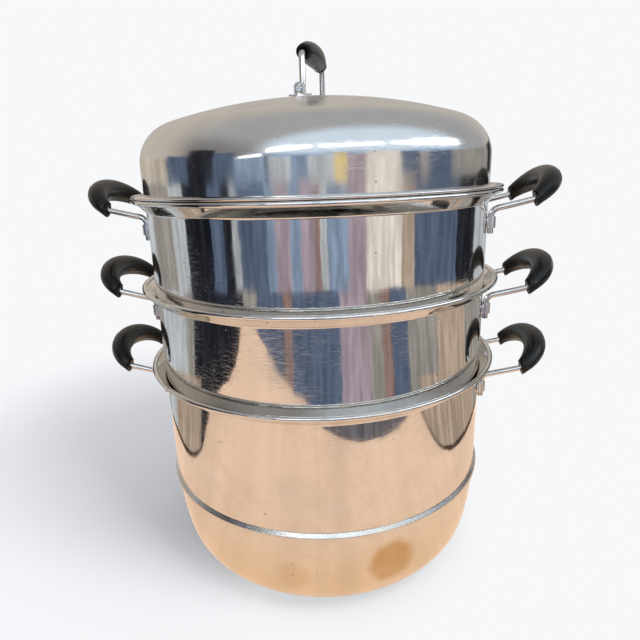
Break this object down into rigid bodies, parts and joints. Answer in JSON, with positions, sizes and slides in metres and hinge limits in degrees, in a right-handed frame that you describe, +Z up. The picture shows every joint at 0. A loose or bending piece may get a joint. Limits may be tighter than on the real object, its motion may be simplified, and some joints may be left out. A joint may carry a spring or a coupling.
{
  "type": "stacked steamer pot",
  "caption": "Stainless-steel steamer: a deep rounded pot, perforated tiers stacked in its funnel rim and a high domed lid, with bent-wire handles and black moulded grips.",
  "frame": {"origin": "centre of the pot's flat base, on the surface that it stands on", "axes": "+Z up along the axis of the stack, +X through the right-hand handles, +Y to the back"},
  "size_m": [0.4234, 0.324, 0.4654],
  "materials": {
    "polished_steel": "polished stainless sheet with fine hairline scratches",
    "wire_steel": "polished round stainless wire",
    "strap_steel": "pressed stainless strip, satin",
    "black_bakelite": "black moulded heat-proof plastic, semi-gloss"
  },
  "bodies": {
    "pot": {"pot_shell": "polished_steel", "pot_left_wire": "wire_steel", "pot_left_grip": "black_bakelite", "pot_left_front_strap": "strap_steel", "pot_left_back_strap": "strap_steel", "pot_right_wire": "wire_steel", "pot_right_grip": "black_bakelite", "pot_right_front_strap": "strap_steel", "pot_right_back_strap": "strap_steel"},
    "lower_tier": {"lower_tier_shell": "polished_steel", "lower_tier_left_wire": "wire_steel", "lower_tier_left_grip": "black_bakelite", "lower_tier_left_front_strap": "strap_steel", "lower_tier_left_back_strap": "strap_steel", "lower_tier_right_wire": "wire_steel", "lower_tier_right_grip": "black_bakelite", "lower_tier_right_front_strap": "strap_steel", "lower_tier_right_back_strap": "strap_steel"},
    "upper_tier": {"upper_tier_shell": "polished_steel", "upper_tier_left_wire": "wire_steel", "upper_tier_left_grip": "black_bakelite", "upper_tier_left_front_strap": "strap_steel", "upper_tier_left_back_strap": "strap_steel", "upper_tier_right_wire": "wire_steel", "upper_tier_right_grip": "black_bakelite", "upper_tier_right_front_strap": "strap_steel", "upper_tier_right_back_strap": "strap_steel"},
    "lid": {"lid_shell": "polished_steel", "lid_front_strap": "strap_steel", "lid_back_strap": "strap_steel"},
    "lid_handle": {"lid_wire": "wire_steel", "lid_grip": "black_bakelite"}
  },
  "joints": [
    {"name": "lower_tier_lift", "type": "slide", "parent": "pot", "child": "lower_tier", "axis": [0, 0, 1], "range_m": [0, 0.15]},
    {"name": "upper_tier_lift", "type": "slide", "parent": "lower_tier", "child": "upper_tier", "axis": [0, 0, 1], "range_m": [0, 0.15]},
    {"name": "lid_lift", "type": "slide", "parent": "upper_tier", "child": "lid", "axis": [0, 0, 1], "range_m": [0, 0.15]},
    {"name": "lid_handle_fold", "type": "hinge", "parent": "lid", "child": "lid_handle", "pos_m": [0, 0, 0.42292], "axis": [0.1132, 0.9936, 0], "range_deg": [-78, 78]}
  ]
}
